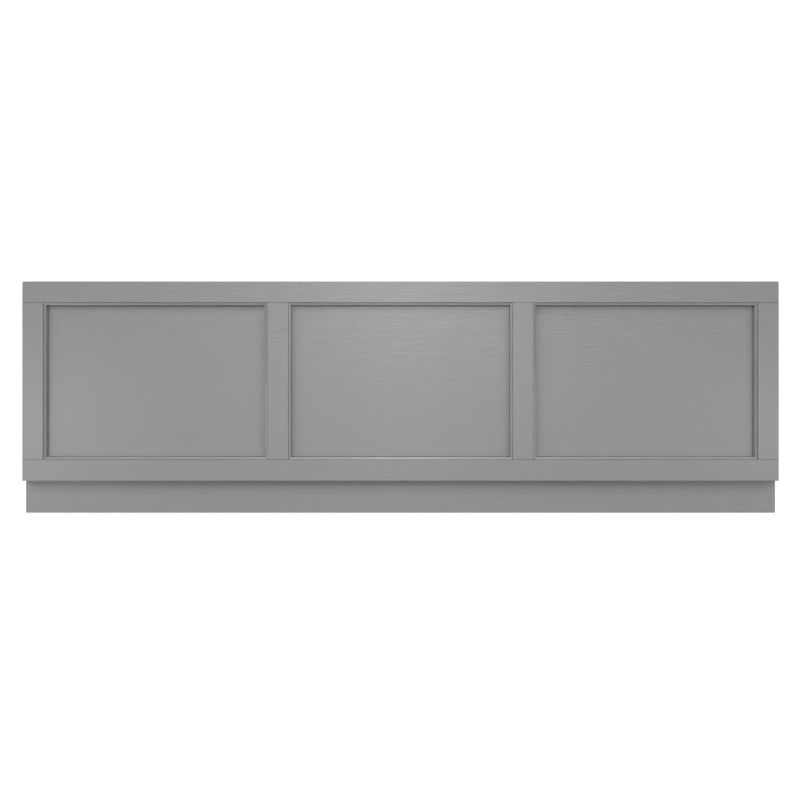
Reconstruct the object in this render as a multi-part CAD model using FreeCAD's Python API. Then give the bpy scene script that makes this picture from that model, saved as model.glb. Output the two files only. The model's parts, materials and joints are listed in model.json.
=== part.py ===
"""A framed front bath panel with three recessed fields and a set-back plinth, lying on its back.

Two rails run the full width. Four uprights stand between them, with ends scribed over the rails' moulding and
tongues in the rails' rebates. Three thin infill boards lie in the rebates, flush with the back of the frame,
each with a shadow groove along the moulding's foot.
The plinth is a board lapped behind the bottom rail, so its face stands one frame thickness behind the panel's.
Slots in the lap let it slide on its screws to suit the height of the bath.

X runs along the panel, +Y points to its top edge and +Z out of its face. The origin is on the floor, under the
middle of the panel's outline. Millimetres.
"""

import FreeCAD
import Part
import math
import os

# Overall sizes
PANEL_WIDTH = 1790.0
PANEL_HEIGHT = 472.0
FRAME_THICKNESS = 18.0
BAY_COUNT = 3

# Frame members: flat face widths, measured up to the moulding
RAIL_FACE = 50.0
STILE_FACE = 49.0

# Moulding on the inner edges: a step down to a sloping ledge, a round nose, and a wall with a rounded foot
STEP_DEPTH = 1.8
LEDGE_WIDTH = 5.2
LEDGE_DROP = 1.5
NOSE_RADIUS = 1.0
WALL_DRAFT = math.radians(6.0)
FOOT_RADIUS = 1.0

# Quirk: the narrow groove round each field, between the flat faces and the ledges
QUIRK_WIDTH = 0.8
QUIRK_DEPTH = 3.2

# Infill boards and the rebates that hold them
INFILL_THICKNESS = 6.0
INFILL_LAP = 10.0
FIT_CLEARANCE = 0.4

# Shadow groove round each infill board: the width that shows beside the moulding's foot, and the depth
GROOVE_SHOWN = 0.7
GROOVE_DEPTH = 1.8

# Plinth board: the height that shows under the panel, and the lap behind the bottom rail
PLINTH_SHOWN = 78.0
PLINTH_LAP = 60.0
PLINTH_THICKNESS = 18.0

# Slots of the plinth's screws: their travel, and the recess at the back that takes the heads
SLOT_COUNT = 4
SLOT_END_DISTANCE = 150.0
SLOT_WIDTH = 5.0
SLOT_TRAVEL = 24.0
HEAD_RECESS_WIDTH = 11.0
HEAD_RECESS_DEPTH = 8.0

# Softened edges: the rounding along each member, and the chamfer across its ends
ARRIS_RADIUS = 0.6
END_CHAMFER = 0.6

# Depths of the section, measured back from the front face
LEDGE_ANGLE = math.atan2(LEDGE_DROP, LEDGE_WIDTH)
LEDGE_END_DEPTH = STEP_DEPTH + LEDGE_DROP
NOSE_CENTRE_DEPTH = LEDGE_END_DEPTH + NOSE_RADIUS * math.cos(LEDGE_ANGLE)
WALL_TOP_DEPTH = NOSE_CENTRE_DEPTH - NOSE_RADIUS * math.sin(WALL_DRAFT)
RECESS_DEPTH = FRAME_THICKNESS - INFILL_THICKNESS
FOOT_CENTRE_DEPTH = RECESS_DEPTH - FOOT_RADIUS
WALL_FOOT_DEPTH = FOOT_CENTRE_DEPTH - FOOT_RADIUS * math.sin(WALL_DRAFT)

# Distances of the section, measured inwards from the edge of the flat face
NOSE_CENTRE = LEDGE_WIDTH - NOSE_RADIUS * math.sin(LEDGE_ANGLE)
WALL_TOP = NOSE_CENTRE + NOSE_RADIUS * math.cos(WALL_DRAFT)
MOULDING_WIDTH = WALL_TOP + (RECESS_DEPTH - WALL_TOP_DEPTH) * math.tan(WALL_DRAFT)
FOOT_CENTRE = MOULDING_WIDTH - FOOT_RADIUS * (1.0 + math.sin(WALL_DRAFT)) / math.cos(WALL_DRAFT)
WALL_FOOT = FOOT_CENTRE + FOOT_RADIUS * math.cos(WALL_DRAFT)
GROOVE_END = MOULDING_WIDTH + GROOVE_SHOWN
REBATE_WALL = MOULDING_WIDTH - INFILL_LAP

# Heights above the floor
FRAME_BACK = PLINTH_THICKNESS
FRAME_FRONT = FRAME_BACK + FRAME_THICKNESS
REBATE_CEILING = FRAME_FRONT - RECESS_DEPTH

# Places across and along the panel
HALF_WIDTH = PANEL_WIDTH / 2.0
TOP_EDGE = (PANEL_HEIGHT + PLINTH_SHOWN) / 2.0
PANEL_BOTTOM = TOP_EDGE - PANEL_HEIGHT
FOOT_EDGE = PANEL_BOTTOM - PLINTH_SHOWN
TOP_RAIL_LINE = TOP_EDGE - RAIL_FACE
BOTTOM_RAIL_LINE = PANEL_BOTTOM + RAIL_FACE
BAY_WIDTH = (PANEL_WIDTH - (BAY_COUNT + 1) * STILE_FACE) / BAY_COUNT
SCREW_LINE = PANEL_BOTTOM + RAIL_FACE / 2.0
SLOT_SPACING = (PANEL_WIDTH - 2.0 * SLOT_END_DISTANCE) / (SLOT_COUNT - 1)

ACROSS = FreeCAD.Vector(1, 0, 0)
UPWARDS = FreeCAD.Vector(0, 1, 0)
BACKWARDS = FreeCAD.Vector(0, 0, -1)


def section_plane(face_edge, inward):
    """Gives the function that places a section point: a distance in from the face's edge, and a depth."""
    def at(distance, depth):
        return face_edge + inward * distance + BACKWARDS * depth
    return at


def line(start, end):
    return Part.LineSegment(start, end).toShape()


def round_edge(at, centre, radius, start_angle, end_angle):
    """An arc of the section about centre. Angle 0 points inwards and a quarter turn points to the back."""
    def rim(angle):
        return at(centre[0] + radius * math.cos(angle), centre[1] + radius * math.sin(angle))
    middle = (start_angle + end_angle) / 2.0
    return Part.Arc(rim(start_angle), rim(middle), rim(end_angle)).toShape()


def moulded_edges(at, front_start, back_end):
    """The section's outline from the flat face, round the moulding and the rebate, to the flat back."""
    nose_centre = (NOSE_CENTRE, NOSE_CENTRE_DEPTH)
    return [
        line(at(front_start, 0), at(-ARRIS_RADIUS, 0)),
        round_edge(at, (-ARRIS_RADIUS, ARRIS_RADIUS), ARRIS_RADIUS, -math.pi / 2, 0),
        line(at(0, ARRIS_RADIUS), at(0, STEP_DEPTH)),
        line(at(0, STEP_DEPTH), at(LEDGE_WIDTH, LEDGE_END_DEPTH)),
        round_edge(at, nose_centre, NOSE_RADIUS, LEDGE_ANGLE - math.pi / 2, -WALL_DRAFT),
        line(at(WALL_TOP, WALL_TOP_DEPTH), at(WALL_FOOT, WALL_FOOT_DEPTH)),
        round_edge(at, (FOOT_CENTRE, FOOT_CENTRE_DEPTH), FOOT_RADIUS, -WALL_DRAFT, math.pi / 2),
        line(at(FOOT_CENTRE, RECESS_DEPTH), at(REBATE_WALL, RECESS_DEPTH)),
        line(at(REBATE_WALL, RECESS_DEPTH), at(REBATE_WALL, FRAME_THICKNESS)),
        line(at(REBATE_WALL, FRAME_THICKNESS), at(back_end, FRAME_THICKNESS)),
    ]


def edge_member_section(face_edge, inward, face_width):
    """The section of a rail or an end stile: moulded inside, softened along its outer front edge."""
    at = section_plane(face_edge, inward)
    outer_centre = (-face_width + ARRIS_RADIUS, ARRIS_RADIUS)
    edges = moulded_edges(at, outer_centre[0], -face_width)
    edges.append(line(at(-face_width, FRAME_THICKNESS), at(-face_width, ARRIS_RADIUS)))
    edges.append(round_edge(at, outer_centre, ARRIS_RADIUS, math.pi, 1.5 * math.pi))
    return Part.Face(Part.Wire(Part.__sortEdges__(edges)))


def mid_stile_section(centre):
    """The section of a stile between two fields: the same moulding on both sides of its centre line."""
    half_face = STILE_FACE / 2.0
    edges = []
    for inward in (ACROSS, -ACROSS):
        edges += moulded_edges(section_plane(centre + inward * half_face, inward), -half_face, -half_face)
    return Part.Face(Part.Wire(Part.__sortEdges__(edges)))


def end_chamfer(corner, along, outward, length):
    """The wedge that softens the front edge of a member's end. It starts at corner and runs along the edge."""
    points = [
        corner,
        corner - outward * END_CHAMFER,
        corner + BACKWARDS * END_CHAMFER,
        corner,
    ]
    return Part.Face(Part.makePolygon(points)).extrude(along * length)


def cut_sideways_ends(board, low_y, high_y, front):
    """Softens the two end edges of a board or rail that runs the full width."""
    wedges = []
    for side in (-1, 1):
        corner = FreeCAD.Vector(side * HALF_WIDTH, low_y, front)
        wedges.append(end_chamfer(corner, UPWARDS, ACROSS * side, high_y - low_y))
    return board.cut(wedges)


def rail(face_line, inward, outer_line):
    """A full-width rail. Its moulding faces inwards, and its outer edge is an edge of the panel."""
    start = FreeCAD.Vector(-HALF_WIDTH, face_line, FRAME_FRONT)
    bar = edge_member_section(start, inward, RAIL_FACE).extrude(ACROSS * PANEL_WIDTH)
    return cut_sideways_ends(bar, min(face_line, outer_line), max(face_line, outer_line), FRAME_FRONT)


def fit_between_rails(blank, rails, low_x, width):
    """Scribes a stile's ends over the rails' moulding, cuts its shoulders, and softens their front edges."""
    tools = list(rails)
    for face_line, outward in ((TOP_RAIL_LINE, UPWARDS), (BOTTOM_RAIL_LINE, -UPWARDS)):
        shoulder_depth = abs(REBATE_WALL) + RAIL_FACE
        low_y = min(face_line, face_line + outward.y * shoulder_depth)
        corner = FreeCAD.Vector(low_x, low_y, REBATE_CEILING)
        tools.append(Part.makeBox(width, shoulder_depth, RECESS_DEPTH, corner))
        tools.append(end_chamfer(FreeCAD.Vector(low_x, face_line, FRAME_FRONT), ACROSS, outward, width))
    return blank.cut(tools)


def stile_blank(section):
    """A stile's bar, long enough for its tongues to reach into both rails' rebates."""
    reach = REBATE_WALL + FIT_CLEARANCE
    bar = section.extrude(UPWARDS * (TOP_RAIL_LINE - BOTTOM_RAIL_LINE - 2.0 * reach))
    bar.translate(UPWARDS * reach)
    return bar


def end_stile(side, rails):
    """The upright at one end of the panel. Side is -1 on the left and 1 on the right."""
    outer_x = side * HALF_WIDTH
    face_edge = FreeCAD.Vector(outer_x - side * STILE_FACE, BOTTOM_RAIL_LINE, FRAME_FRONT)
    blank = stile_blank(edge_member_section(face_edge, ACROSS * -side, STILE_FACE))
    width = STILE_FACE + MOULDING_WIDTH
    return fit_between_rails(blank, rails, min(outer_x, outer_x - side * width), width)


def mid_stile(index, rails):
    """The upright between one field and the next, counted from 1 at the left."""
    centre_x = -HALF_WIDTH + index * (STILE_FACE + BAY_WIDTH) + STILE_FACE / 2.0
    centre = FreeCAD.Vector(centre_x, BOTTOM_RAIL_LINE, FRAME_FRONT)
    blank = stile_blank(mid_stile_section(centre))
    width = STILE_FACE + 2.0 * MOULDING_WIDTH
    return fit_between_rails(blank, rails, centre_x - width / 2.0, width)


def field_box(index, inset, back, thickness):
    """A box over one field, counted from 1 at the left. Inset is measured in from the flat faces round it."""
    low_x = -HALF_WIDTH + index * STILE_FACE + (index - 1) * BAY_WIDTH + inset
    length = BAY_WIDTH - 2.0 * inset
    height = TOP_RAIL_LINE - BOTTOM_RAIL_LINE - 2.0 * inset
    return Part.makeBox(length, height, thickness, FreeCAD.Vector(low_x, BOTTOM_RAIL_LINE + inset, back))


def groove_ring(index, outer_inset, inner_inset, front, depth):
    """The cutter of a groove round one field, between two insets, that goes back from front by depth."""
    back = front - depth
    return field_box(index, outer_inset, back, depth).cut(field_box(index, inner_inset, back, depth))


def infill_panel(index):
    """The thin board of one field. It lies in the rebates on all four sides, grooved along the moulding's foot."""
    board = field_box(index, REBATE_WALL + FIT_CLEARANCE, FRAME_BACK, INFILL_THICKNESS)
    return board.cut(groove_ring(index, FOOT_CENTRE, GROOVE_END, REBATE_CEILING, GROOVE_DEPTH))


def upright_slot(centre, width, height):
    """A slot cutter, round at both ends, that rises from centre and runs up and down by the screws' travel."""
    half = ACROSS * (width / 2.0)
    top = centre + UPWARDS * (SLOT_TRAVEL / 2.0)
    bottom = centre - UPWARDS * (SLOT_TRAVEL / 2.0)
    edges = [
        line(bottom + half, top + half),
        Part.Arc(top + half, top + UPWARDS * (width / 2.0), top - half).toShape(),
        line(top - half, bottom - half),
        Part.Arc(bottom - half, bottom - UPWARDS * (width / 2.0), bottom + half).toShape(),
    ]
    return Part.Face(Part.Wire(edges)).extrude(-BACKWARDS * height)


def slot_cutters():
    """The cutters of all the slots: a clear way through the board, and a recess for the screw's head."""
    cutters = []
    for index in range(SLOT_COUNT):
        centre = FreeCAD.Vector(-HALF_WIDTH + SLOT_END_DISTANCE + index * SLOT_SPACING, SCREW_LINE, 0)
        cutters.append(upright_slot(centre, SLOT_WIDTH, PLINTH_THICKNESS))
        cutters.append(upright_slot(centre, HEAD_RECESS_WIDTH, HEAD_RECESS_DEPTH))
    return cutters


def plinth_board():
    """The set-back board under the panel: slotted in its lap, and softened along its lower front edge."""
    at = section_plane(FreeCAD.Vector(-HALF_WIDTH, FOOT_EDGE, PLINTH_THICKNESS), UPWARDS)
    height = PLINTH_SHOWN + PLINTH_LAP
    edges = [
        line(at(ARRIS_RADIUS, 0), at(height, 0)),
        line(at(height, 0), at(height, PLINTH_THICKNESS)),
        line(at(height, PLINTH_THICKNESS), at(0, PLINTH_THICKNESS)),
        line(at(0, PLINTH_THICKNESS), at(0, ARRIS_RADIUS)),
        round_edge(at, (ARRIS_RADIUS, ARRIS_RADIUS), ARRIS_RADIUS, math.pi, 1.5 * math.pi),
    ]
    section = Part.Face(Part.Wire(Part.__sortEdges__(edges)))
    board = section.extrude(ACROSS * PANEL_WIDTH).cut(slot_cutters())
    return cut_sideways_ends(board, FOOT_EDGE, FOOT_EDGE + height, PLINTH_THICKNESS)


def bath_panel():
    """Every piece of the panel, by name."""
    top_rail = rail(TOP_RAIL_LINE, -UPWARDS, TOP_EDGE)
    bottom_rail = rail(BOTTOM_RAIL_LINE, UPWARDS, PANEL_BOTTOM)
    rails = (top_rail, bottom_rail)
    frame = {
        "top_rail": top_rail,
        "bottom_rail": bottom_rail,
        "left_end_stile": end_stile(-1, rails),
        "right_end_stile": end_stile(1, rails),
    }
    for index in range(1, BAY_COUNT):
        frame[f"mid_stile_{index}"] = mid_stile(index, rails)
    fields = range(1, BAY_COUNT + 1)
    quirks = [groove_ring(index, 0, QUIRK_WIDTH, FRAME_FRONT, QUIRK_DEPTH) for index in fields]
    pieces = {name: member.cut(quirks) for name, member in frame.items()}
    pieces["plinth_board"] = plinth_board()
    for index in fields:
        pieces[f"infill_panel_{index}"] = infill_panel(index)
    return pieces


def main():
    os.makedirs("parts", exist_ok=True)
    for name, shape in bath_panel().items():
        if len(shape.Solids) != 1 or not shape.isValid():
            raise ValueError(f"{name} is not one sound solid")
        shape.Solids[0].exportStep(os.path.join("parts", name + ".step"))


if __name__ == "__main__":
    main()
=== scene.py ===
"""Looks of a framed front bath panel: grey woodgrain foil, plinth screws, a white studio and the camera.

The panel lies on its back with its face up, +X along it and +Y to its top edge, so the camera looks
straight down. Metres, watts and linear colour throughout.
"""

import json
import logging
import math
from dataclasses import dataclass, field
from enum import Enum

import bmesh
import bpy
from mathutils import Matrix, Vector

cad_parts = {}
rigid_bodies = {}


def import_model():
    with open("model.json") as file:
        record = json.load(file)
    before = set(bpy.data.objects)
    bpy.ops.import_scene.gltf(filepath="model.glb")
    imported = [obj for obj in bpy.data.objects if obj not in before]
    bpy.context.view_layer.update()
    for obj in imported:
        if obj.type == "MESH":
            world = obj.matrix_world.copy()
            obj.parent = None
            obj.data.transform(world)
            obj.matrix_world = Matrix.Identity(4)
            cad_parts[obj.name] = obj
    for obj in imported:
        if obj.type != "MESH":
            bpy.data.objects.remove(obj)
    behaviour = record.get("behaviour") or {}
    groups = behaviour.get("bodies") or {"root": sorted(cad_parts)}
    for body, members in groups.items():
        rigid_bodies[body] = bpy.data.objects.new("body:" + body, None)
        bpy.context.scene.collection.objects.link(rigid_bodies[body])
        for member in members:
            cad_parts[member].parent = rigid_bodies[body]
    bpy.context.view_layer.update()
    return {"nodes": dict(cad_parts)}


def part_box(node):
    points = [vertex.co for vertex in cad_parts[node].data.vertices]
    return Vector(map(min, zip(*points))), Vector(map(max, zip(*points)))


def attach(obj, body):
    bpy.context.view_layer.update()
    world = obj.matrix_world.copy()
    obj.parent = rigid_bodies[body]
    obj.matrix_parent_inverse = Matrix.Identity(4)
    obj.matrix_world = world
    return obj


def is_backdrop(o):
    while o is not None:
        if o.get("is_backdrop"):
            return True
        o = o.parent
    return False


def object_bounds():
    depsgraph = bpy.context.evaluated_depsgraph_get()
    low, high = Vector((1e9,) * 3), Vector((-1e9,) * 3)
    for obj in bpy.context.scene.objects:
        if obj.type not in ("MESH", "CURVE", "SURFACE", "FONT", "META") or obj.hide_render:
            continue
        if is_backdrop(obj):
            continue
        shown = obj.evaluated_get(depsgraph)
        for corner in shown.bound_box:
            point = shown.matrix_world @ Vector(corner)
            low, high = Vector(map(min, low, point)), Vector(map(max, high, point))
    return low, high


LOG = logging.getLogger("bath_panel")

Point = tuple[float, float, float]
Box = tuple[Point, Point]
Span = tuple[float, float]
Colour = tuple[float, float, float, float]
Socket = bpy.types.NodeSocket
Inputs = dict[str | int, object]
WHITE: Colour = (1.0, 1.0, 1.0, 1.0)


def grey_colour(level: float) -> Colour:
    """A neutral colour of the given level."""
    return (level, level, level, 1.0)


class Board(Enum):
    """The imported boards: node name, how deep the grain is pressed, and the board's own stretch of foil."""

    TOP_RAIL = ("top_rail", 0.5, (0.31, 0.07, 0.0))
    BOTTOM_RAIL = ("bottom_rail", 1.0, (-1.87, 1.43, 0.11))
    LEFT_END_STILE = ("left_end_stile", 0.9, (2.63, -0.91, 0.23))
    RIGHT_END_STILE = ("right_end_stile", 0.45, (-3.29, 0.57, 0.37))
    MID_STILE_1 = ("mid_stile_1", 1.4, (4.11, 2.19, 0.41))
    MID_STILE_2 = ("mid_stile_2", 0.9, (-5.47, -1.71, 0.53))
    INFILL_PANEL_1 = ("infill_panel_1", 1.2, (6.37, 3.05, 0.61))
    INFILL_PANEL_2 = ("infill_panel_2", 0.38, (-7.13, -2.33, 0.73))
    INFILL_PANEL_3 = ("infill_panel_3", 1.15, (8.59, 4.21, 0.83))
    PLINTH_BOARD = ("plinth_board", 1.4, (-9.71, -3.67, 0.97))

    def __init__(self, node: str, grain_depth: float, grain_shift: Point) -> None:
        """Keeps what sets one board apart.

        Args:
            node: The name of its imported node.
            grain_depth: Its relief, as a share of the foil's usual relief.
            grain_shift: How far its stretch of grain is moved on the foil.
        """
        self.node = node
        self.grain_depth = grain_depth
        self.grain_shift = grain_shift


class NodeSheet:
    """A node tree that is filled by short calls."""

    def __init__(self, tree: bpy.types.NodeTree) -> None:
        """Empties the tree."""
        self.tree = tree
        tree.nodes.clear()

    def feed(self, socket: Socket, value: object) -> None:
        """Sets an input socket, or links it.

        Args:
            socket: The input socket.
            value: Its value, or the output socket that feeds it.
        """
        if isinstance(value, Socket):
            self.tree.links.new(value, socket)
        else:
            socket.default_value = value

    def add(self, kind: str, inputs: Inputs | None = None, **settings: object) -> bpy.types.Node:
        """Adds one node.

        Args:
            kind: Blender's name of the node type.
            inputs: Socket name or number to a value, or to the output socket that feeds it.
            settings: The node's own properties.

        Returns:
            The new node.
        """
        node = self.tree.nodes.new(kind)
        for name, value in settings.items():
            setattr(node, name, value)
        for key, value in (inputs or {}).items():
            self.feed(node.inputs[key], value)
        return node

    def maths(self, operation: str, *terms: object) -> Socket:
        """One Math node: the operation on values or sockets."""
        return self.add("ShaderNodeMath", dict(enumerate(terms)), operation=operation).outputs[0]

    def vector_maths(self, operation: str, *terms: object) -> Socket:
        """One Vector Math node that gives a vector: the operation on points or sockets."""
        return self.add("ShaderNodeVectorMath", dict(enumerate(terms)), operation=operation).outputs[0]

    def length(self, vector: Socket) -> Socket:
        """How long a vector is."""
        return self.add("ShaderNodeVectorMath", {0: vector}, operation="LENGTH").outputs["Value"]

    def parts(self, vector: Socket) -> bpy.types.bpy_prop_collection:
        """The X, Y and Z of a vector."""
        return self.add("ShaderNodeSeparateXYZ", {0: vector}).outputs

    def ramp(self, value: Socket, low: float, high: float) -> Socket:
        """A smooth change from 0 at low to 1 at high."""
        limits = {"Value": value, "From Min": low, "From Max": high}
        return self.add("ShaderNodeMapRange", limits, interpolation_type="SMOOTHSTEP").outputs[0]

    def around(self, value: Socket, middle: float, spread: float) -> Socket:
        """Spreads a value of 0 to 1 evenly to both sides of a middle."""
        return self.maths("MULTIPLY_ADD", value, spread, middle - spread / 2.0)

    def blend(self, factor: Socket, first: object, second: object) -> Socket:
        """A colour that goes with the factor from the first colour to the second.

        Args:
            factor: 0 for the first, 1 for the second.
            first: A colour, or the output socket of one.
            second: The same.

        Returns:
            The mixed colour.
        """
        node = self.add("ShaderNodeMix", {0: factor}, data_type="RGBA")
        for socket, colour in zip([s for s in node.inputs if s.type == "RGBA"], (first, second)):
            self.feed(socket, colour)
        return next(s for s in node.outputs if s.type == "RGBA")

    def surface(self, inputs: Inputs) -> None:
        """Ends a material with its shader, which has the given inputs."""
        shader = self.add("ShaderNodeBsdfPrincipled", inputs).outputs[0]
        self.add("ShaderNodeOutputMaterial", {"Surface": shader})


class BoardSheet(NodeSheet):
    """The nodes of a board's material, which start from the place on the board and the way it faces there."""

    def __init__(self, tree: bpy.types.NodeTree) -> None:
        """Starts the tree with the board's coordinates.

        Args:
            tree: The material's node tree.
        """
        super().__init__(tree)
        where = self.add("ShaderNodeTexCoord").outputs
        self.spot = where["Object"]
        self.facing = self.parts(where["Normal"])

    def in_box(self, box: Box) -> Socket:
        """Whether a place is inside a box.

        Args:
            box: The box's lowest and highest corner.

        Returns:
            1 inside and 0 outside.
        """
        middle = [(low + high) / 2.0 for low, high in zip(*box)]
        offsets = self.parts(self.vector_maths("SUBTRACT", self.spot, middle))
        inside = [
            self.maths("LESS_THAN", self.maths("ABSOLUTE", offset), (high - low) / 2.0)
            for offset, low, high in zip(offsets, *box)
        ]
        return self.maths("MULTIPLY", self.maths("MULTIPLY", inside[0], inside[1]), inside[2])


@dataclass(frozen=True)
class BoardBack:
    """The plain sheet on a board's back, and the bare fibre where the back is cut."""

    sheet_light: Colour = grey_colour(0.37)
    sheet_dark: Colour = grey_colour(0.34)
    fibre_light: Colour = (0.40, 0.28, 0.17, 1.0)
    fibre_dark: Colour = (0.29, 0.19, 0.11, 1.0)
    roughness: float = 0.46
    mottle_size: float = 0.0012
    mottle_detail: float = 2.0
    mottle_range: Span = (0.3, 0.7)

    def colour(self, sheet: BoardSheet, cut: Socket | None) -> Socket:
        """The back's mottled colour.

        Args:
            sheet: The material's nodes.
            cut: 1 where the back is cut and 0 elsewhere, or nothing on a board with no cuts.

        Returns:
            The colour.
        """
        inputs = {"Vector": sheet.spot, "Scale": 1.0 / self.mottle_size, "Detail": self.mottle_detail}
        mottle = sheet.ramp(sheet.add("ShaderNodeTexNoise", inputs).outputs[0], *self.mottle_range)
        paper = sheet.blend(mottle, self.sheet_dark, self.sheet_light)
        if cut is None:
            return paper
        return sheet.blend(cut, paper, sheet.blend(mottle, self.fibre_dark, self.fibre_light))


@dataclass(frozen=True)
class Patch:
    """The patches of a noise on the foil: their length along the grain, their width, and the finer layers."""

    length: float
    width: float
    detail: float


@dataclass(frozen=True)
class WoodgrainFoil:
    """A satin foil with an embossed grain, wrapped on fibreboard.

    The grain runs along X on the face of every board and turns over its edges. Wandering ridges come and
    go between short fibres. The pores are a little darker, and the ridges carry a painted highlight that is
    strongest where the emboss is deep. The emboss is deepest about one place near the panel's top edge.
    Where the foil is stretched over a moulding it is smooth and glossier. Painted shade darkens the sharp
    arrises, for the shade in the joints between boards, and the stiles' moulded slopes and walls, for the
    shade in the recesses.

    The emboss is full within deep_core of the deep place and shallow past deep_reach, and a distance across
    the panel counts deep_squeeze times. A facing is how far a surface's normal leans along one axis, and a
    range is where a smooth change starts and ends.
    """

    grey: float = 0.300
    noise_roughness: float = 0.55
    fibre: Patch = Patch(length=0.016, width=0.0028, detail=2.0)
    pore_range: Span = (0.46, 0.30)
    pore_depth: float = 0.02
    ridge_spacing: float = 0.0047
    ridge_wander: float = 0.06
    broad_wander: Patch = Patch(length=0.55, width=0.16, detail=1.0)
    fine_wander: Patch = Patch(length=0.13, width=0.03, detail=1.0)
    fine_share: float = 0.2
    ridge_sharpness: float = 2.0
    ridge_stretch: Patch = Patch(length=0.065, width=0.010, detail=1.0)
    ridge_range: Span = (0.42, 0.66)
    ridge_share: float = 0.7
    # Painted highlight: how much lighter the grain's ridges are painted.
    ridge_highlight_gain: float = 0.12
    relief: float = 0.0010
    shallow_share: float = 0.18
    deep_place: Point = (0.10, 0.30, 0.0)
    deep_reach: float = 1.0
    deep_core: float = 0.25
    deep_squeeze: float = 2.6
    roughness: float = 0.36
    roughness_spread: float = 0.05
    cloud: Patch = Patch(length=0.09, width=0.02, detail=2.0)
    moulding_gloss: float = 0.09
    flat_range: Span = (0.985, 0.998)
    turned_facing: float = 0.7
    arris_facing: float = 0.97
    arris_size: float = 0.0007
    # Painted shade: how much darker the arris is painted, for the shade in the joints between boards.
    arris_shade: float = 0.45
    wall_range: Span = (0.1, 0.4)
    # Painted shade: how much darker the stiles' moulded slopes and walls are painted, for the shade in the
    # recesses.
    wall_shade: float = 0.18
    wall_inset: float = 0.02
    back: BoardBack = field(default_factory=BoardBack)

    @property
    def moulding_roughness(self) -> float:
        """The roughness where the foil is stretched over a moulding or an edge."""
        return self.roughness - self.moulding_gloss

    def stretched_noise(self, sheet: BoardSheet, place: Socket, patch: Patch) -> Socket:
        """Noise that is drawn out along the grain.

        Args:
            sheet: The material's nodes.
            place: The place on the foil.
            patch: The patches of the noise.

        Returns:
            The noise, from 0 to 1.
        """
        scale = (1.0 / patch.length, 1.0 / patch.width, 1.0)
        scaled = sheet.add("ShaderNodeMapping", {"Vector": place, "Scale": scale}).outputs[0]
        inputs = {"Vector": scaled, "Scale": 1.0, "Detail": patch.detail, "Roughness": self.noise_roughness}
        return sheet.add("ShaderNodeTexNoise", inputs).outputs[0]

    def place_on_foil(self, sheet: BoardSheet, shift: Point) -> Socket:
        """The place on the unrolled foil: along the grain, then across it.

        Args:
            sheet: The material's nodes.
            shift: How far the board's stretch of grain is moved.

        Returns:
            The place, with the foil turned down over the board's edges.
        """
        spot = sheet.parts(sheet.spot)
        on_end = sheet.maths("GREATER_THAN", sheet.maths("ABSOLUTE", sheet.facing["X"]), self.turned_facing)
        on_edge = sheet.maths("GREATER_THAN", sheet.maths("ABSOLUTE", sheet.facing["Y"]), self.turned_facing)
        along = sheet.maths("MULTIPLY_ADD", spot["Z"], on_end, spot["X"])
        across = sheet.maths("MULTIPLY_ADD", spot["Z"], on_edge, spot["Y"])
        flat = sheet.add("ShaderNodeCombineXYZ", {0: along, 1: across}).outputs[0]
        return sheet.add("ShaderNodeMapping", {"Vector": flat, "Location": shift}).outputs[0]

    def ridges(self, sheet: BoardSheet, place: Socket) -> Socket:
        """The long ridges of the grain: thin lines that wander, and fade in and out.

        Args:
            sheet: The material's nodes.
            place: The place on the foil.

        Returns:
            The ridges' height, from 0 to 1.
        """
        across = sheet.parts(place)["Y"]
        broad = self.stretched_noise(sheet, place, self.broad_wander)
        fine = self.stretched_noise(sheet, place, self.fine_wander)
        wander = sheet.maths("MULTIPLY_ADD", fine, self.fine_share, broad)
        line = sheet.maths("MULTIPLY_ADD", wander, self.ridge_wander, across)
        turns = sheet.maths("MULTIPLY", line, math.tau / self.ridge_spacing)
        # The sine's -1 to 1 becomes 0 to 1.
        wave = sheet.maths("MULTIPLY_ADD", sheet.maths("SINE", turns), 0.5, 0.5)
        fade = sheet.ramp(self.stretched_noise(sheet, place, self.ridge_stretch), *self.ridge_range)
        return sheet.maths("MULTIPLY", sheet.maths("POWER", wave, self.ridge_sharpness), fade)

    def flatness(self, sheet: BoardSheet) -> Socket:
        """1 on the flat faces, and 0 on the mouldings, edges and backs."""
        return sheet.ramp(sheet.facing["Z"], *self.flat_range)

    def emboss(self, sheet: BoardSheet) -> Socket:
        """How fully the grain is pressed in: only on the flat faces, and most about the deep place.

        Args:
            sheet: The material's nodes.

        Returns:
            The share of the full depth, from 0 to 1.
        """
        from_deep = sheet.vector_maths("SUBTRACT", sheet.spot, self.deep_place)
        oval = sheet.vector_maths("MULTIPLY", from_deep, (1.0, self.deep_squeeze, 0.0))
        near = sheet.ramp(sheet.length(oval), self.deep_reach, self.deep_core)
        depth = sheet.maths("MULTIPLY_ADD", near, 1.0 - self.shallow_share, self.shallow_share)
        return sheet.maths("MULTIPLY", self.flatness(sheet), depth)

    def arris(self, sheet: BoardSheet, top: float) -> Socket:
        """Whether a place is on the rounded arris round a board's face, where the shade in the joints is
        painted.

        Args:
            sheet: The material's nodes.
            top: The height of the board's face.

        Returns:
            1 on the arris and 0 elsewhere.
        """
        high = sheet.maths("GREATER_THAN", sheet.parts(sheet.spot)["Z"], top - self.arris_size)
        turned = sheet.maths("LESS_THAN", sheet.facing["Z"], self.arris_facing)
        return sheet.maths("MULTIPLY", high, turned)

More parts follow.
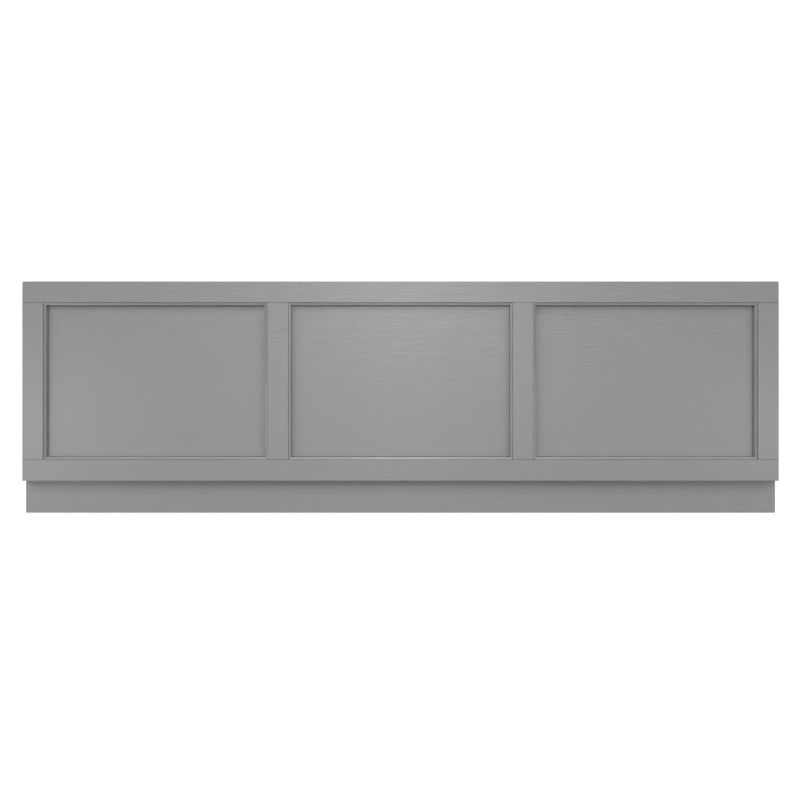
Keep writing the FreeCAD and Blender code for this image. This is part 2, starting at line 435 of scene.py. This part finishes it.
    def wall(self, sheet: BoardSheet) -> Socket:
        """Whether a place is on a stile's moulded slope or wall, well inside the panel's outer edges, where
        the recess's shade is painted.

        Args:
            sheet: The material's nodes.

        Returns:
            1 on a wall, less on a gentle slope, and 0 elsewhere.
        """
        low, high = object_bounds()
        inset = self.wall_inset
        inner = (
            (low[0] + inset, low[1] + inset, low[2]),
            (high[0] - inset, high[1] - inset, high[2]),
        )
        steep = sheet.ramp(sheet.maths("ABSOLUTE", sheet.facing["X"]), *self.wall_range)
        return sheet.maths("MULTIPLY", steep, sheet.in_box(inner))

    def face_colour(self, sheet: BoardSheet, top: float, fibres: Socket, ridge_highlight: Socket) -> Socket:
        """The foil's grey: darker in pores, with a painted highlight on the ridges and painted shade on
        arrises and walls.

        Args:
            sheet: The material's nodes.
            top: The height of the board's face.
            fibres: The fibres' height, from 0 to 1.
            ridge_highlight: How much painted highlight the ridges get, from 0 to 1.

        Returns:
            The colour.
        """
        tones = (
            (sheet.ramp(fibres, *self.pore_range), 1.0 - self.pore_depth),
            # Painted highlight on the ridges.
            (ridge_highlight, 1.0 + self.ridge_highlight_gain),
            # Painted shade on the arrises.
            (self.arris(sheet, top), 1.0 - self.arris_shade),
            # Painted shade on the stiles' moulded slopes and walls.
            (self.wall(sheet), 1.0 - self.wall_shade),
        )
        colour: Colour | Socket = grey_colour(self.grey)
        for cover, tone in tones:
            colour = sheet.blend(cover, colour, grey_colour(self.grey * tone))
        return colour

    def face_roughness(self, sheet: BoardSheet, place: Socket) -> Socket:
        """The foil's roughness, which is clouded on the flat faces and even on the mouldings.

        Args:
            sheet: The material's nodes.
            place: The place on the foil.

        Returns:
            The roughness.
        """
        cloud = self.stretched_noise(sheet, place, self.cloud)
        rougher = sheet.around(cloud, self.moulding_gloss, self.roughness_spread)
        return sheet.maths("MULTIPLY_ADD", self.flatness(sheet), rougher, self.moulding_roughness)

    def make(self, board: Board, cut_box: Box | None = None) -> bpy.types.Material:
        """The foil for one board, with the board's plain back.

        Args:
            board: The board that it covers.
            cut_box: The box that holds the cuts in the board's back, if it has any.

        Returns:
            The material.
        """
        material = bpy.data.materials.new(f"foil_{board.node}")
        material.use_nodes = True
        sheet = BoardSheet(material.node_tree)
        place = self.place_on_foil(sheet, board.grain_shift)
        fibres = self.stretched_noise(sheet, place, self.fibre)
        ridges = self.ridges(sheet, place)
        emboss = self.emboss(sheet)
        # Painted highlight on the ridges, strongest where the emboss is deep.
        ridge_highlight = sheet.maths("MULTIPLY", ridges, emboss)
        face = self.face_colour(sheet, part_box(board.node)[1][2], fibres, ridge_highlight)
        rough = self.face_roughness(sheet, place)
        height = sheet.maths("MULTIPLY_ADD", ridges, self.ridge_share, fibres)
        relief = self.relief * board.grain_depth
        bump = sheet.add("ShaderNodeBump", {"Strength": emboss, "Distance": relief, "Height": height})
        plain = sheet.maths("LESS_THAN", sheet.facing["Z"], -self.turned_facing)
        cut = None
        if cut_box:
            cut = sheet.in_box(cut_box)
            plain = sheet.maths("MAXIMUM", plain, cut)
        # Backs and cuts don't count as flat faces, so they start from the mouldings' roughness.
        rougher = self.back.roughness - self.moulding_roughness
        sheet.surface(
            {
                "Base Color": sheet.blend(plain, face, self.back.colour(sheet, cut)),
                "Roughness": sheet.maths("MULTIPLY_ADD", plain, rougher, rough),
                "Normal": bump.outputs[0],
            }
        )
        return material


@dataclass(frozen=True)
class ZincSteel:
    """Bright zinc plating on the screws, with a fine crystal mottle."""

    light: Colour = (0.66, 0.68, 0.70, 1.0)
    dark: Colour = (0.52, 0.54, 0.57, 1.0)
    roughness: float = 0.34
    roughness_spread: float = 0.12
    crystal_size: float = 0.0009
    crystal_detail: float = 3.0
    crystal_range: Span = (0.35, 0.65)
    relief: float = 0.00002
    relief_strength: float = 0.3

    def make(self) -> bpy.types.Material:
        """The plating.

        Returns:
            The material.
        """
        material = bpy.data.materials.new("zinc_steel")
        material.use_nodes = True
        sheet = NodeSheet(material.node_tree)
        spot = sheet.add("ShaderNodeTexCoord").outputs["Object"]
        inputs = {"Vector": spot, "Scale": 1.0 / self.crystal_size, "Detail": self.crystal_detail}
        mottle = sheet.add("ShaderNodeTexNoise", inputs).outputs[0]
        bump = sheet.add(
            "ShaderNodeBump", {"Strength": self.relief_strength, "Distance": self.relief, "Height": mottle}
        )
        sheet.surface(
            {
                "Base Color": sheet.blend(sheet.ramp(mottle, *self.crystal_range), self.dark, self.light),
                "Metallic": 1.0,
                "Roughness": sheet.around(mottle, self.roughness, self.roughness_spread),
                "Normal": bump.outputs[0],
            }
        )
        return material


@dataclass
class PlinthScrews:
    """The screws that clamp the plinth board to the bottom rail through its slots.

    Each stands upright with its head down in the recess of its slot and its point up in the rail.
    """

    count: int = 4
    end_distance: float = 0.150
    rail_face: float = 0.050
    recess_depth: float = 0.008
    flange_radius: float = 0.0049
    flange_height: float = 0.0009
    rim_radius_share: float = 0.97
    rim_height_share: float = 0.75
    dome_radius: float = 0.0040
    dome_height: float = 0.0020
    dome_steps: int = 8
    length: float = 0.022
    core_radius: float = 0.0014
    thread_radius: float = 0.0020
    thread_pitch: float = 0.0018
    thread_steepness: float = 3.0
    rows_per_turn: int = 6
    point_length: float = 0.0040
    cross_span: float = 0.0042
    cross_width: float = 0.0010
    cross_depth: float = 0.0013
    segments: int = 24
    turn_seed: int = 7
    finish: ZincSteel = field(default_factory=ZincSteel)

    @property
    def crown_height(self) -> float:
        """The height of the head's crown, which hangs under the bearing face."""
        return -self.flange_height - self.dome_height

    def line(self) -> float:
        """The screws' place across the panel: the middle of the bottom rail's flat face."""
        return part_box(Board.BOTTOM_RAIL.node)[0][1] + self.rail_face / 2.0

    def angles(self) -> list[float]:
        """The angle of each segment round the screw."""
        return [math.tau * i / self.segments for i in range(self.segments)]

    def thread(self, angle: float, height: float) -> float:
        """The shank's radius: a ridge that winds round a core, tapered at the point.

        Args:
            angle: The angle round the screw.
            height: The height over the bearing face.

        Returns:
            The radius there.
        """
        turn = (height / self.thread_pitch - angle / math.tau) % 1.0
        ridge = max(0.0, 1.0 - self.thread_steepness * abs(turn - 0.5))
        radius = self.core_radius + (self.thread_radius - self.core_radius) * ridge
        return radius * min(1.0, (self.length - height) / self.point_length)

    def rings(self) -> list[tuple[float, list[float]]]:
        """The screw's outline from the head up to the point.

        Returns:
            One entry for each ring: its height over the bearing face, and its radius at each segment.
        """
        rounds = []
        for step in range(1, self.dome_steps + 1):
            share = math.sin(step / self.dome_steps * math.pi / 2.0)
            height = -self.flange_height - self.dome_height * math.sqrt(1.0 - share * share)
            rounds.append((height, self.dome_radius * share))
        rounds.append((-self.flange_height, self.flange_radius * self.rim_radius_share))
        rounds.append((-self.flange_height * self.rim_height_share, self.flange_radius))
        rounds.append((0.0, self.flange_radius))
        rings = [(height, [radius] * self.segments) for height, radius in rounds]
        rows = round(self.rows_per_turn * self.length / self.thread_pitch)
        for row in range(rows):
            height = self.length * row / rows
            rings.append((height, [self.thread(angle, height) for angle in self.angles()]))
        return rings

    def one_screw(self) -> bpy.types.Mesh:
        """One closed screw, its bearing face at height 0 and its point up.

        Returns:
            The mesh.
        """
        shape = bmesh.new()
        angles = self.angles()
        rings = [
            [shape.verts.new((r * math.cos(a), r * math.sin(a), height)) for a, r in zip(angles, radii)]
            for height, radii in self.rings()
        ]
        crown = shape.verts.new((0.0, 0.0, self.crown_height))
        point = shape.verts.new((0.0, 0.0, self.length))
        for i in range(self.segments):
            j = (i + 1) % self.segments
            shape.faces.new((crown, rings[0][j], rings[0][i]))
            shape.faces.new((rings[-1][i], rings[-1][j], point))
            for low, high in zip(rings, rings[1:]):
                shape.faces.new((low[i], low[j], high[j], high[i]))
        bmesh.ops.recalc_face_normals(shape, faces=shape.faces)
        mesh = bpy.data.meshes.new("plinth_screws")
        shape.to_mesh(mesh)
        shape.free()
        return mesh

    def recessed(self, sheet: NodeSheet, given: bpy.types.bpy_prop_collection) -> Socket:
        """Sinks the cross recess into the screw's crown.

        Args:
            sheet: The row's nodes.
            given: The row's inputs.

        Returns:
            The recessed screw.
        """
        sunk = sheet.add(
            "GeometryNodeMeshBoolean", {"Mesh 1": given["Screw"]}, operation="DIFFERENCE", solver="EXACT"
        )
        for name in ("Cross Arm", "Other Arm"):
            bar = sheet.add("GeometryNodeMeshCube", {"Size": given[name]}).outputs["Mesh"]
            arm = sheet.add("GeometryNodeTransform", {"Geometry": bar, "Translation": given["Crown"]})
            sheet.feed(sunk.inputs["Mesh 2"], arm.outputs[0])
        return sunk.outputs[0]

    def repeat_tree(self) -> bpy.types.NodeTree:
        """The tree that sinks the cross recess into a screw and repeats it along the plinth.

        Returns:
            The tree, with the row's sizes as named inputs.
        """
        tree = bpy.data.node_groups.new("screw_row", "GeometryNodeTree")
        sheet = NodeSheet(tree)
        kinds = {
            "Screw": "NodeSocketGeometry",
            "Count": "NodeSocketInt",
            "First Place": "NodeSocketVector",
            "Spacing": "NodeSocketVector",
            "Cross Arm": "NodeSocketVector",
            "Other Arm": "NodeSocketVector",
            "Crown": "NodeSocketVector",
            "Finish": "NodeSocketMaterial",
        }
        for name, kind in kinds.items():
            tree.interface.new_socket(name=name, in_out="INPUT", socket_type=kind)
        tree.interface.new_socket(name="Row", in_out="OUTPUT", socket_type="NodeSocketGeometry")
        given = sheet.add("NodeGroupInput").outputs
        row = sheet.add(
            "GeometryNodeMeshLine",
            {"Count": given["Count"], "Start Location": given["First Place"], "Offset": given["Spacing"]},
            mode="OFFSET",
        ).outputs[0]
        turn = sheet.add(
            "FunctionNodeRandomValue",
            {"Min": (0.0, 0.0, 0.0), "Max": (0.0, 0.0, math.tau), "Seed": self.turn_seed},
            data_type="FLOAT_VECTOR",
        ).outputs[0]
        screws = sheet.add(
            "GeometryNodeInstanceOnPoints",
            {"Points": row, "Instance": self.recessed(sheet, given), "Rotation": turn},
        ).outputs[0]
        solid = sheet.add("GeometryNodeRealizeInstances", {0: screws}).outputs[0]
        dressed = sheet.add("GeometryNodeSetMaterial", {"Geometry": solid, "Material": given["Finish"]})
        sheet.add("NodeGroupOutput", {0: dressed.outputs[0]})
        return tree

    def build(self) -> bpy.types.Object:
        """Makes the row of screws as one plain mesh that rides with the panel.

        Returns:
            The finished piece.
        """
        low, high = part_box(Board.PLINTH_BOARD.node)
        span = high[0] - low[0] - 2.0 * self.end_distance
        screws = bpy.data.objects.new("plinth_screws", self.one_screw())
        bpy.context.scene.collection.objects.link(screws)
        tree = self.repeat_tree()
        sockets = {item.name: item.identifier for item in tree.interface.items_tree if item.in_out == "INPUT"}
        repeat = screws.modifiers.new("row", "NODES")
        repeat.node_group = tree
        values = {
            "Count": self.count,
            "First Place": (low[0] + self.end_distance, self.line(), self.recess_depth),
            "Spacing": (span / (self.count - 1), 0.0, 0.0),
            "Cross Arm": (self.cross_span, self.cross_width, 2.0 * self.cross_depth),
            "Other Arm": (self.cross_width, self.cross_span, 2.0 * self.cross_depth),
            "Crown": (0.0, 0.0, self.crown_height),
            "Finish": self.finish.make(),
        }
        for name, value in values.items():
            repeat[sockets[name]] = value
        finished = screws.evaluated_get(bpy.context.evaluated_depsgraph_get())
        mesh = bpy.data.meshes.new_from_object(finished)
        screws.modifiers.remove(repeat)
        screws.data = mesh
        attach(screws, "root")
        return screws


@dataclass
class PanelBoards:
    """Every packed board of the panel, dressed in the foil."""

    nodes: dict[str, bpy.types.Object]
    screws: PlinthScrews
    foil: WoodgrainFoil = field(default_factory=WoodgrainFoil)
    slot_reach: float = 0.02
    slot_margin: float = 0.02
    skin: float = 0.0005

    def slot_box(self) -> Box:
        """The box that holds the plinth's slots.

        Returns:
            Its lowest and highest corner, just inside the plinth's back and face.
        """
        low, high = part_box(Board.PLINTH_BOARD.node)
        line = self.screws.line()
        return (
            (low[0] + self.slot_margin, line - self.slot_reach, low[2] + self.skin),
            (high[0] - self.slot_margin, line + self.slot_reach, high[2] - self.skin),
        )

    def dress(self, board: Board) -> None:
        """Gives a board its own cut of the foil.

        Args:
            board: The board to dress.
        """
        cut_box = self.slot_box() if board is Board.PLINTH_BOARD else None
        material = self.foil.make(board, cut_box)
        for slot in self.nodes[board.node].material_slots:
            slot.material = material


@dataclass(frozen=True)
class SoftLamp:
    """One square soft lamp of the studio."""

    name: str
    place: Point
    aim: Point
    size: float
    power: float

    def build(self) -> bpy.types.Object:
        """Makes the lamp, turned to its aim.

        Returns:
            The lamp.
        """
        data = bpy.data.lights.new(self.name, "AREA")
        data.shape = "SQUARE"
        data.size = self.size
        data.energy = self.power
        lamp = bpy.data.objects.new(self.name, data)
        bpy.context.scene.collection.objects.link(lamp)
        lamp.location = self.place
        lamp.rotation_euler = (Vector(self.aim) - Vector(self.place)).to_track_quat("-Z", "Y").to_euler()
        lamp.visible_camera = False
        return lamp


@dataclass(frozen=True)
class LampRig:
    """Lamps of one size that hang at one height over or beside the panel, aimed back at its face."""

    height: float
    size: float
    aim_along: float = 0.6
    aim_across: float = 0.2
    aim_height: float = 0.03

    def lamp(self, name: str, x: float, y: float, power: float) -> SoftLamp:
        """A lamp at a place along and across the panel, aimed at a share of that place."""
        aim = (self.aim_along * x, self.aim_across * y, self.aim_height)
        return SoftLamp(name, (x, y, self.height), aim, self.size, power)


@dataclass(frozen=True)
class LampDome:
    """Lamps of one size at one distance from the panel's middle, all aimed at it."""

    distance: float
    size: float
    aim_height: float = 0.03

    def lamp(self, name: str, tilt: float, bearing: float, power: float) -> SoftLamp:
        """A lamp on the dome.

        Args:
            name: The lamp's name.
            tilt: Degrees down from straight overhead.
            bearing: Degrees round from the panel's right end, with its top edge at 90.
            power: Power of the lamp.

        Returns:
            The lamp.
        """
        down, turn = math.radians(tilt), math.radians(bearing)
        middle = Vector((0.0, 0.0, self.aim_height))
        way = Vector((math.sin(down) * math.cos(turn), math.sin(down) * math.sin(turn), math.cos(down)))
        return SoftLamp(name, tuple(middle + self.distance * way), tuple(middle), self.size, power)


HIGH_RIG = LampRig(height=1.5, size=0.35)
LOW_RIG = LampRig(height=1.0, size=0.4)
NEAR_DOME = LampDome(distance=3.0, size=1.2)
FAR_DOME = LampDome(distance=9.0, size=3.6)


@dataclass
class Studio:
    """A white floor and surround, soft lamps, and the camera over the middle of the panel."""

    floor_size: float = 14.0
    floor_grey: float = 0.5
    floor_glow: float = 0.85
    glow_near: float = 1.4
    glow_far: float = 2.6
    camera_distance: float = 1.813
    camera_x: float = -0.0012
    camera_y: float = -0.00565
    sensor_width: float = 36.0
    lens: float = 34.49
    lamps: tuple[SoftLamp, ...] = (
        HIGH_RIG.lamp("key", x=0.0, y=0.75, power=2.7),
        HIGH_RIG.lamp("key_left", x=-0.5, y=0.75, power=0.9),
        HIGH_RIG.lamp("key_right", x=0.5, y=0.5, power=1.25),
        LOW_RIG.lamp("key_low", x=0.0, y=0.6, power=1.2),
        LOW_RIG.lamp("key_fill", x=0.0, y=0.3, power=0.45),
        LOW_RIG.lamp("row_1", x=-1.4, y=-0.1, power=1.85),
        LOW_RIG.lamp("row_2", x=-1.0, y=-0.1, power=0.4),
        LOW_RIG.lamp("row_3", x=-0.5, y=-0.1, power=0.3),
        LOW_RIG.lamp("row_4", x=0.0, y=-0.1, power=0.65),
        LOW_RIG.lamp("row_5", x=0.5, y=-0.1, power=0.3),
        LOW_RIG.lamp("row_6", x=1.0, y=-0.1, power=0.35),
        LOW_RIG.lamp("row_7", x=1.4, y=-0.1, power=1.4),
        NEAR_DOME.lamp("front_left", tilt=60.0, bearing=225.0, power=10.0),
        NEAR_DOME.lamp("front_right", tilt=60.0, bearing=315.0, power=7.0),
        FAR_DOME.lamp("far_right", tilt=68.0, bearing=30.0, power=195.0),
        FAR_DOME.lamp("far_top_right", tilt=68.0, bearing=60.0, power=155.0),
        FAR_DOME.lamp("far_top_left", tilt=55.0, bearing=120.0, power=70.0),
        FAR_DOME.lamp("far_left", tilt=68.0, bearing=150.0, power=280.0),
    )

    def seen(self, sheet: NodeSheet) -> Socket:
        """Whether a ray shows the studio, and doesn't only gather light from it.

        Args:
            sheet: The nodes of the floor or the surround.

        Returns:
            1 for a ray from the camera, a reflection or a clear piece, and 0 for any other.
        """
        path = sheet.add("ShaderNodeLightPath").outputs
        mirrored = sheet.maths("MAXIMUM", path["Is Glossy Ray"], path["Is Transmission Ray"])
        return sheet.maths("MAXIMUM", path["Is Camera Ray"], mirrored)

    def build_world(self) -> None:
        """Makes the surround: white where it is seen, directly or in a reflection, and dark otherwise."""
        world = bpy.data.worlds.new("studio_surround")
        bpy.context.scene.world = world
        world.use_nodes = True
        sheet = NodeSheet(world.node_tree)
        surround = sheet.add("ShaderNodeBackground", {"Color": WHITE, "Strength": self.seen(sheet)})
        sheet.add("ShaderNodeOutputWorld", {"Surface": surround.outputs[0]})

    def floor_white(self) -> bpy.types.Material:
        """The floor's finish, white where it is seen apart from the panel's shadow.

        It glows more away from the panel, where less of the lamps' light falls.

        Returns:
            The material.
        """
        material = bpy.data.materials.new("floor_white")
        material.use_nodes = True
        sheet = NodeSheet(material.node_tree)
        plain = sheet.add("ShaderNodeBsdfDiffuse", {"Color": grey_colour(self.floor_grey)}).outputs[0]
        away = sheet.length(sheet.add("ShaderNodeTexCoord").outputs["Object"])
        far = sheet.ramp(away, self.glow_near, self.glow_far)
        level = sheet.maths("MULTIPLY_ADD", far, 1.0 - self.floor_glow, self.floor_glow)
        strength = sheet.maths("MULTIPLY", self.seen(sheet), level)
        glow = sheet.add("ShaderNodeEmission", {"Color": WHITE, "Strength": strength}).outputs[0]
        both = sheet.add("ShaderNodeAddShader", {0: plain, 1: glow}).outputs[0]
        sheet.add("ShaderNodeOutputMaterial", {"Surface": both})
        return material

    def build_floor(self) -> None:
        """Makes the floor under the panel."""
        mesh = bpy.data.meshes.new("floor")
        half = self.floor_size / 2.0
        corners = [(-half, -half, 0.0), (half, -half, 0.0), (half, half, 0.0), (-half, half, 0.0)]
        mesh.from_pydata(corners, [], [(0, 1, 2, 3)])
        mesh.materials.append(self.floor_white())
        floor = bpy.data.objects.new("floor", mesh)
        bpy.context.scene.collection.objects.link(floor)
        floor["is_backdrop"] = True

    def build_camera(self) -> None:
        """Makes the camera, looking straight down with the panel's top edge up in the picture."""
        data = bpy.data.cameras.new("camera")
        data.sensor_width = self.sensor_width
        data.lens = self.lens
        camera = bpy.data.objects.new("camera", data)
        bpy.context.scene.collection.objects.link(camera)
        face_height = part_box(Board.TOP_RAIL.node)[1][2]
        camera.location = (self.camera_x, self.camera_y, face_height + self.camera_distance)
        bpy.context.scene.camera = camera

    def build(self) -> None:
        """Makes the whole studio."""
        bpy.context.scene.view_settings.view_transform = "Standard"
        self.build_world()
        self.build_floor()
        for lamp in self.lamps:
            lamp.build()
        self.build_camera()


def clear_scene() -> None:
    """Removes what Blender starts with."""
    for thing in list(bpy.data.objects):
        bpy.data.objects.remove(thing)


def main() -> None:
    """Dresses the panel, adds its screws and sets the studio around it."""
    logging.basicConfig(level=logging.INFO)
    clear_scene()
    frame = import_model()
    screws = PlinthScrews()
    boards = PanelBoards(frame["nodes"], screws)
    for board in Board:
        boards.dress(board)
        LOG.info("%s: foil", board.node)
    row = screws.build()
    LOG.info("%s: %d screws, %d faces", row.name, screws.count, len(row.data.polygons))
    studio = Studio()
    studio.build()
    LOG.info("studio: %d lamps", len(studio.lamps))


if __name__ == "__main__":
    main()
